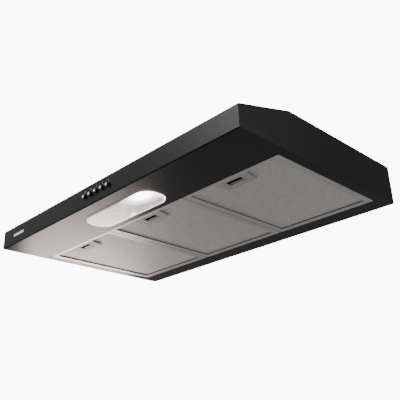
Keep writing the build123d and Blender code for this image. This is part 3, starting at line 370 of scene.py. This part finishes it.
def lens_plastic():
    """Frosted lamp lens, softly lit from inside, with one bright patch, and painted highlights on
    its rim and on its ribs.
    """
    low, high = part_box("lamp_lens")
    centre = (low + high) / 2
    corner = 28 * MM
    straight_half = 4 * MM
    tongue_reach, snap_reach = 3 * MM, 2.5 * MM
    rib_face = 0.55 * MM
    patch_cells = (17.0, 28.0, 0.0)
    patch_centre = (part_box("lamp_bulb")[1].x + 112 * MM, centre.y - 21 * MM, 0)
    frosted = Finish("lens plastic", Emission_Strength=14.0)
    mottle = frosted.noise((45, 80, 45), detail=3.0, roughness=0.5)
    # How far a point is inside the lens's outline, which has round corners.
    outline_y = centre.y + (tongue_reach - snap_reach) / 2
    off_x = frosted.distance_from(0, centre.x) - ((high.x - low.x) / 2 - corner)
    off_y = frosted.distance_from(1, outline_y) - straight_half
    corner_x, corner_y = off_x.above_zero(), off_y.above_zero()
    reach = (corner_x * corner_x + corner_y * corner_y) ** 0.5
    # Painted highlight along the rim's rounded edge, stronger towards the rear.
    rim = frosted.ramp(reach / corner, (0.86, 0.0), (0.93, 1.0))
    share_back = (frosted.axis(1) - low.y) / (high.y - low.y)
    rearward = frosted.ramp(share_back, (0.2, 0.0), (0.6, 1.0))
    # Painted highlight on the ribs' lowest faces.
    painted_rib_highlight = (low.z + rib_face - frosted.axis(2)).step()
    # The bright patch that the reflector throws past the bulb's end.
    patch = frosted.stretched(patch_cells, patch_centre)
    distance = frosted.node(
        "ShaderNodeVectorMath", {"operation": "LENGTH"}, {0: patch}, output="Value"
    )
    glow = frosted.ramp(distance, (0.0, 1.0), (0.3, 0.62), (0.6, 0.16), (1.0, 0.0))
    blotch = frosted.ramp(mottle, (0.30, 0.0), (0.75, 1.0))
    # The lamp's glow, with the painted rim and rib highlights added in.
    edge = rim * (rearward * 0.14 + 0.01)
    lit = (glow * 0.95 + edge + painted_rib_highlight * 0.3 + blotch * 0.03 + 0.03).clamp()
    frosted.set("Base Color", (0.50, 0.46, 0.45))
    frosted.set("Emission Color", frosted.blend(lit, (0.0, 0.0, 0.0), (1.0, 0.94, 0.915)))
    frosted.set("Roughness", 0.16 + mottle * 0.12)
    frosted.bump(mottle, 0.08 * MM)
    return frosted


def reflector_white():
    """Glossy white enamel with a faint flow."""
    enamel = Finish("reflector white")
    flow = enamel.noise(40.0, detail=3.0)
    enamel.set("Base Color", enamel.blend(flow, (0.84, 0.84, 0.82), (0.78, 0.78, 0.77)))
    enamel.set("Roughness", 0.16 + flow * 0.12)
    enamel.bump(enamel.noise(320.0), 0.02 * MM)
    return enamel


def lamp_glass():
    """Frosted bulb glass."""
    glass = Finish("lamp glass", Emission_Strength=1.0, Coat_Roughness=0.1)
    frost = glass.noise(900.0, detail=2.0)
    glass.set("Base Color", glass.blend(frost, (0.93, 0.92, 0.89), (0.86, 0.85, 0.82)))
    glass.set("Emission Color", (0.55, 0.52, 0.46))
    glass.set("Coat Weight", 0.4 + frost * 0.2)
    glass.set("Roughness", 0.35 + frost * 0.15)
    return glass


def stator_core():
    """Varnished laminations, with copper coil ends standing above and below them."""
    coil_stand = 3 * MM
    low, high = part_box("motor_stator")
    core = Finish("stator core")
    from_middle = core.distance_from(2, (low.z + high.z) / 2)
    coil_start = (high.z - low.z) / 2 - coil_stand
    coil = (from_middle - coil_start).step(0.05 * MM)
    sheets = core.node(
        "ShaderNodeTexWave", {"bands_direction": "Z"}, {"Vector": core.place(), "Scale": 320.0}
    )
    turns = core.noise((500, 500, 1600), detail=2.0)
    iron = core.blend(sheets, (0.10, 0.09, 0.08), (0.24, 0.22, 0.20))
    copper = core.blend(turns, (0.52, 0.20, 0.08), (0.30, 0.10, 0.04))
    core.set("Base Color", core.blend(coil, iron, copper))
    core.set("Metallic", 0.5 + coil * 0.4)
    core.set("Roughness", 0.38 + turns * 0.12)
    core.bump(turns, 0.1 * MM)
    return core


def printed_ink():
    """Pale grey screen-printed ink."""
    ink = Finish("printed ink")
    wear = ink.noise(900.0, detail=3.0)
    ink.set("Base Color", ink.blend(wear, (0.92, 0.92, 0.92), (0.80, 0.80, 0.80)))
    ink.set("Roughness", 0.5 + wear * 0.1)
    return ink


WARM_GREY = (1.0, 0.985, 0.97)
COOL_GREY = (1.0, 1.0, 1.03)
BRASS = (1.0, 0.80, 0.47)

FINISHES = {
    "black_paint": black_paint("black paint"),
    "zinc_steel": zinc_steel(),
    "steel": rolled_metal("ground steel", 0.52, 0.30, COOL_GREY, BOTH_WAYS),
    "badge_metal": rolled_metal("badge metal", 0.92, 0.28, grain=ALONG_X),
    "button_chrome": chrome(),
    "filter_aluminium": folded_aluminium(),
    "filter_mesh": rolled_metal("filter mesh", 0.77, 0.60, WARM_GREY, metallic=0.7),
    "latch_steel": latch_metal(),
    "black_plastic": moulded_plastic(
        "black plastic", (0.020, 0.020, 0.021), (0.032, 0.032, 0.033)
    ),
    "grey_plastic": moulded_plastic("grey plastic", (0.20, 0.21, 0.22), (0.25, 0.26, 0.27)),
    "flap_aluminium": rolled_metal("flap aluminium", 0.78, 0.36, grain=ALONG_X),
    "lens_plastic": lens_plastic(),
    "reflector_white": reflector_white(),
    "white_plastic": moulded_plastic(
        "white plastic", (0.78, 0.78, 0.75), (0.84, 0.84, 0.81), 0.4
    ),
    "lamp_brass": rolled_metal("lamp brass", 0.82, 0.28, BRASS, BOTH_WAYS),
    "lamp_glass": lamp_glass(),
    "stator_core": stator_core(),
    "rubber_mounts": moulded_plastic(
        "rubber mounts", (0.018, 0.018, 0.018), (0.03, 0.03, 0.03), 0.65
    ),
    "cable_sheath": moulded_plastic(
        "cable sheath", (0.03, 0.03, 0.031), (0.045, 0.045, 0.046), 0.5
    ),
}
INK = printed_ink()
CANOPY_PAINT = black_paint("canopy paint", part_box("canopy_shell")[0].z + 0.3 * MM)
CORE_FOIL = rolled_metal("core foil", 0.30, 0.5, WARM_GREY, (500, 500, 60))

for subpart in frame["record"]["subparts"]:
    node = frame["nodes"][subpart["node"]]
    node.data.materials.clear()
    finish = FINISHES[subpart["material_slot"]]
    if subpart["node"].endswith("filter_core"):
        finish = CORE_FOIL
    elif subpart["node"] == "canopy_shell":
        finish = CANOPY_PAINT
    node.data.materials.append(finish.material)


# ==== New pieces ====

def finish_piece(mesh, name, body, finish):
    """Turns a bmesh into a piece that rides on a body."""
    data = bpy.data.meshes.new(name)
    mesh.to_mesh(data)
    mesh.free()
    piece = bpy.data.objects.new(name, data)
    bpy.context.scene.collection.objects.link(piece)
    data.materials.append(finish.material)
    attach(piece, body)
    return piece


def thicken(mesh, height):
    """Extrudes a flat sheet upwards into a closed shell that faces outwards."""
    raised = bmesh.ops.extrude_face_region(mesh, geom=mesh.faces[:])
    top = [item for item in raised["geom"] if isinstance(item, bmesh.types.BMVert)]
    bmesh.ops.translate(mesh, vec=(0, 0, height), verts=top)
    bmesh.ops.recalc_face_normals(mesh, faces=mesh.faces)


def cut(mesh, point, normal, keep_both=False):
    """Cuts the mesh by a plane, and clears the normal's side unless both are kept."""
    bmesh.ops.bisect_plane(
        mesh,
        geom=mesh.verts[:] + mesh.edges[:] + mesh.faces[:],
        plane_co=point,
        plane_no=normal,
        clear_outer=not keep_both,
    )


def expanded_mesh(side):
    """The filter's face of expanded aluminium: diamonds with the long way across the filter."""
    long_way = 8.0 * MM
    short_way = 4.6 * MM
    strand = 0.75 * MM
    node = f"{side}_filter_mesh"
    low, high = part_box(node)
    middle = (low + high) / 2
    reach = (high.x - low.x) / long_way + (high.y - low.y) / short_way
    steps = 2 * math.ceil(reach / 2)
    mesh = bmesh.new()
    bmesh.ops.create_grid(mesh, x_segments=steps, y_segments=steps, size=steps / 2)
    turn = Matrix.Rotation(math.radians(45), 4, "Z")
    squeeze = Matrix.Diagonal((long_way / math.sqrt(2), short_way / math.sqrt(2), 1, 1))
    place = Matrix.Translation((middle.x, middle.y, low.z))
    bmesh.ops.transform(mesh, matrix=place @ squeeze @ turn, verts=mesh.verts)
    edge_margin = long_way
    spare = [
        face
        for face in mesh.faces
        if not (
            low.x - edge_margin < face.calc_center_median().x < high.x + edge_margin
            and low.y - edge_margin < face.calc_center_median().y < high.y + edge_margin
        )
    ]
    bmesh.ops.delete(mesh, geom=spare, context="FACES")
    diamonds = mesh.faces[:]
    bmesh.ops.inset_individual(mesh, faces=diamonds, thickness=strand, depth=0.0)
    bmesh.ops.delete(mesh, geom=diamonds, context="FACES_ONLY")
    cut(mesh, (low.x, 0, 0), (-1, 0, 0))
    cut(mesh, (high.x, 0, 0), (1, 0, 0))
    cut(mesh, (0, low.y, 0), (0, -1, 0))
    cut(mesh, (0, high.y, 0), (0, 1, 0))
    # Room for the latch case, cut out with straight edges.
    latch_low, latch_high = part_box(f"{side}_filter_latch")
    spring_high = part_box(f"{side}_latch_spring")[1]
    case_margin = 2.3 * MM
    left, right = latch_low.x - case_margin, latch_high.x + case_margin
    rear = spring_high.y + case_margin
    cut(mesh, (left, 0, 0), (1, 0, 0), keep_both=True)
    cut(mesh, (right, 0, 0), (1, 0, 0), keep_both=True)
    cut(mesh, (0, rear, 0), (0, 1, 0), keep_both=True)
    inside = []
    for face in mesh.faces:
        centre = face.calc_center_median()
        if left < centre.x < right and centre.y < rear:
            inside.append(face)
    bmesh.ops.delete(mesh, geom=inside, context="FACES")
    thicken(mesh, high.z - low.z)
    piece = finish_piece(
        mesh, f"{side}_expanded_mesh", f"{side}_filter", FINISHES["filter_mesh"]
    )
    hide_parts(node)


def button_marks():
    """The printed marks above the buttons: a small lamp ring, then the speed numbers."""
    ink_height = 0.03 * MM
    mark_height = 4.0 * MM
    mark_rise = 10.3 * MM
    text_size = 1.4 * mark_height
    ring_line = 0.45 * MM
    ring_sides = 24
    fascia_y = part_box("canopy_shell")[0].y
    marks = bmesh.new()
    for name, text in zip(BUTTONS, ("", "0", "1", "2", "3")):
        low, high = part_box(f"{name}_button")
        centre = (low + high) / 2
        mark_place = Matrix.Translation((centre.x, fascia_y, centre.z + mark_rise))
        stand = mark_place @ Matrix.Rotation(math.radians(90), 4, "X")
        if text:
            curve = bpy.data.curves.new(f"mark {text}", "FONT")
            curve.body = text
            curve.size = text_size
            curve.align_x = "CENTER"
            curve.align_y = "CENTER"
            curve.extrude = ink_height
            holder = bpy.data.objects.new("mark", curve)
            bpy.context.scene.collection.objects.link(holder)
            bpy.context.view_layer.update()
            shape = bpy.data.meshes.new_from_object(holder)
            shape.transform(stand)
            marks.from_mesh(shape)
            bpy.data.objects.remove(holder)
        else:
            ring = bmesh.new()
            bmesh.ops.create_circle(
                ring, cap_ends=True, segments=ring_sides, radius=mark_height / 2
            )
            bmesh.ops.inset_individual(ring, faces=ring.faces[:], thickness=ring_line, depth=0.0)
            disc = [face for face in ring.faces if len(face.verts) > 4]
            bmesh.ops.delete(ring, geom=disc, context="FACES_ONLY")
            thicken(ring, ink_height)
            bmesh.ops.transform(ring, matrix=stand, verts=ring.verts)
            shape = bpy.data.meshes.new("ring")
            ring.to_mesh(shape)
            ring.free()
            marks.from_mesh(shape)
    finish_piece(marks, "button_marks", "hood", INK)


def latch_spring(side):
    """The coil spring behind a latch."""
    wire_radius = 0.35 * MM
    wire_sides = 8
    turns = 5
    turn_steps = 16
    node = f"{side}_latch_spring"
    low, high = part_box(node)
    middle = (low + high) / 2
    coil_radius = (high.x - low.x) / 2 - wire_radius
    advance = (high.y - low.y - 2 * wire_radius) / (turns * turn_steps)
    mesh = bmesh.new()
    bmesh.ops.create_circle(mesh, segments=wire_sides, radius=wire_radius)
    start = (middle.x + coil_radius, low.y + wire_radius, middle.z)
    bmesh.ops.translate(mesh, vec=start, verts=mesh.verts)
    bmesh.ops.spin(
        mesh,
        geom=mesh.verts[:] + mesh.edges[:],
        cent=middle,
        axis=(0, 1, 0),
        dvec=(0, advance, 0),
        angle=turns * 2 * math.pi,
        steps=turns * turn_steps,
    )
    bmesh.ops.holes_fill(mesh, edges=mesh.edges, sides=0)
    bmesh.ops.recalc_face_normals(mesh, faces=mesh.faces)
    piece = finish_piece(
        mesh, f"{side}_coil_spring", f"{side}_filter", FINISHES["latch_steel"]
    )
    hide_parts(node)
    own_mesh(piece)


for side in SIDES:
    expanded_mesh(side)
    latch_spring(side)
button_marks()


# ==== Floor, light and camera ====

def make_floor():
    """A plain pale floor, well below the hood."""
    drop = 1.5
    half_width = 7.0
    floor_z = cad_box[0][2] - drop
    mesh = bmesh.new()
    bmesh.ops.create_grid(mesh, x_segments=1, y_segments=1, size=half_width)
    bmesh.ops.translate(mesh, vec=(0, 0, floor_z), verts=mesh.verts)
    data = bpy.data.meshes.new("floor")
    mesh.to_mesh(data)
    mesh.free()
    floor = bpy.data.objects.new("floor", data)
    bpy.context.scene.collection.objects.link(floor)
    pale = Finish("pale floor")
    pale.set("Base Color", (0.80, 0.79, 0.78))
    pale.set("Roughness", 0.9)
    data.materials.append(pale.material)


def softbox(name, place, target, size, power, tint=(1.0, 1.0, 1.0)):
    """A rectangular area light at a place, facing a target, that the eye doesn't see."""
    light = bpy.data.lights.new(name, "AREA")
    light.shape = "RECTANGLE"
    light.size, light.size_y = size
    light.energy = power
    light.color = tint
    holder = bpy.data.objects.new(name, light)
    holder.visible_camera = False
    bpy.context.scene.collection.objects.link(holder)
    aim = Vector(target) - Vector(place)
    turn = aim.to_track_quat("-Z", "Y").to_matrix().to_4x4()
    holder.matrix_world = Matrix.Translation(place) @ turn


def white_surround(nodes, strength):
    surround = nodes.new("ShaderNodeBackground")
    surround.inputs["Color"].default_value = (1, 1, 1, 1)
    surround.inputs["Strength"].default_value = strength
    return surround


def light_room():
    """A white surround for the eye, a dimmer one for the light, and the softboxes."""
    world = bpy.data.worlds.new("room")
    world.use_nodes = True
    bpy.context.scene.world = world
    nodes = world.node_tree.nodes
    links = world.node_tree.links
    nodes.clear()
    seen = white_surround(nodes, 10.0)
    lighting = white_surround(nodes, 0.22)
    path = nodes.new("ShaderNodeLightPath")
    mix = nodes.new("ShaderNodeMixShader")
    output = nodes.new("ShaderNodeOutputWorld")
    links.new(path.outputs["Is Camera Ray"], mix.inputs[0])
    links.new(lighting.outputs[0], mix.inputs[1])
    links.new(seen.outputs[0], mix.inputs[2])
    links.new(mix.outputs[0], output.inputs["Surface"])
    warm = (1.0, 0.89, 0.83)
    softbox("left softbox", (-0.74, 0.14, -0.27), (-0.28, -0.09, -0.08), (0.35, 0.24), 3.0, warm)
    softbox("front softbox", (-0.8, -2.0, 1.35), (0.37, -0.3, -0.06), (0.8, 0.8), 30.0)
    softbox("fascia softbox", (-2.1, -1.6, 0.9), (-0.1, -0.3, -0.06), (1.4, 1.4), 5.0)
    softbox("side softbox", (1.7, 0.85, 0.7), (0.375, -0.25, -0.04), (0.6, 0.6), 2.5)
    softbox("ceiling softbox", (0.0, 0.6, 2.6), (0.0, 0.0, 0.0), (2.0, 2.0), 14.0)
    softbox("low softbox", (1.3, 0.3, -1.1), (0.0, 0.0, -0.08), (0.8, 0.8), 8.0)


def aim_camera():
    """The camera below and in front of the hood's right end, looking up at it."""
    place = (0.8744, -0.8837, -0.5301)
    turns = (45.19, -23.242, -1.815)
    focal_length, sensor_width = 52.53, 36.0
    azimuth, elevation, roll = (math.radians(turn) for turn in turns)
    back = Vector((
        math.sin(azimuth) * math.cos(elevation),
        -math.cos(azimuth) * math.cos(elevation),
        math.sin(elevation),
    ))
    level_right = Vector((0, 0, 1)).cross(back).normalized()
    level_up = back.cross(level_right)
    right = math.cos(roll) * level_right + math.sin(roll) * level_up
    up = math.cos(roll) * level_up - math.sin(roll) * level_right
    lens = bpy.data.cameras.new("camera")
    lens.lens = focal_length
    lens.sensor_width = sensor_width
    camera = bpy.data.objects.new("camera", lens)
    bpy.context.scene.collection.objects.link(camera)
    turn = Matrix((right, up, back)).transposed().to_4x4()
    camera.matrix_world = Matrix.Translation(place) @ turn
    bpy.context.scene.camera = camera


make_floor()
light_room()
aim_camera()
